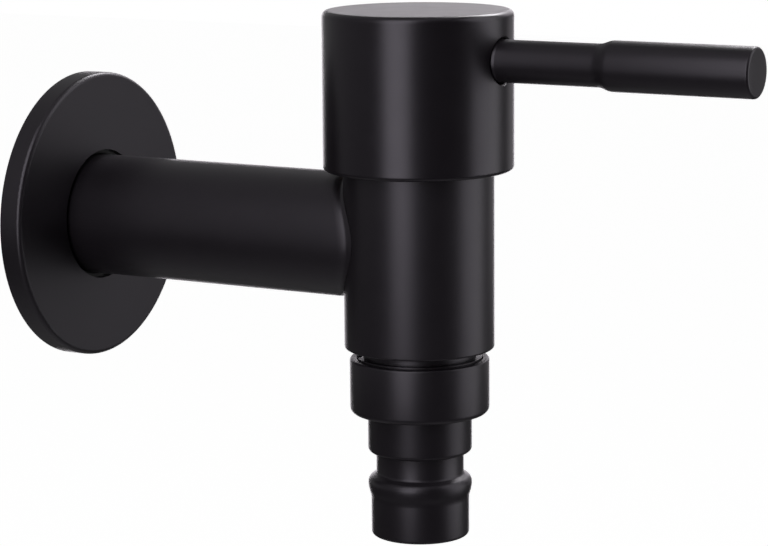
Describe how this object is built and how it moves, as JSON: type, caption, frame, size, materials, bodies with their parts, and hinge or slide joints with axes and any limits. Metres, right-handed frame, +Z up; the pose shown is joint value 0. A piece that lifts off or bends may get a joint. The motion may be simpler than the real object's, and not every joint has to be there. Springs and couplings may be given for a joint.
{
  "type": "wall tap",
  "caption": "Wall-mounted cold water tap with a straight arm, round quarter-turn lever handle and push-on hose connector.",
  "frame": {"origin": "on the inlet arm's axis at the face of the wall", "axes": "-Y out of the wall along the arm, +Y into the wall along the inlet thread, +Z up along the handle's turning axis, +X to the right of someone facing the tap"},
  "size_m": [0.05, 0.1368, 0.0882],
  "materials": {
    "black_coat": "satin",
    "raw_brass": "satin",
    "black_rubber": "matte",
    "silicone": "matte",
    "ceramic": "satin",
    "white_plastic": "satin",
    "spring_steel": "satin"
  },
  "bodies": {
    "fixed": {"inlet_tail": "raw_brass", "inlet_arm": "black_coat", "valve_body": "black_coat", "cartridge_housing": "raw_brass", "housing_ring": "black_rubber", "seat_seal": "silicone", "fixed_disc": "ceramic", "guide_ring": "white_plastic", "hose_connector": "black_coat", "connector_gasket": "black_rubber"},
    "handle": {"spindle": "raw_brass", "spindle_rings": "black_rubber", "moving_disc": "ceramic", "circlip": "spring_steel", "handle_cap": "black_coat", "handle_screw": "spring_steel", "lever": "black_coat", "thrust_washer": "white_plastic"},
    "wall_plate": {"escutcheon": "black_coat", "escutcheon_ring": "black_rubber"}
  },
  "joints": [
    {"name": "handle_turn", "type": "hinge", "parent": "fixed", "child": "handle", "pos_m": [0, -0.0674, 0], "axis": [0, 0, 1], "range_deg": [0, 90]},
    {"name": "escutcheon_slide", "type": "slide", "parent": "fixed", "child": "wall_plate", "axis": [0, -1, 0], "range_m": [0, 0.04]}
  ]
}
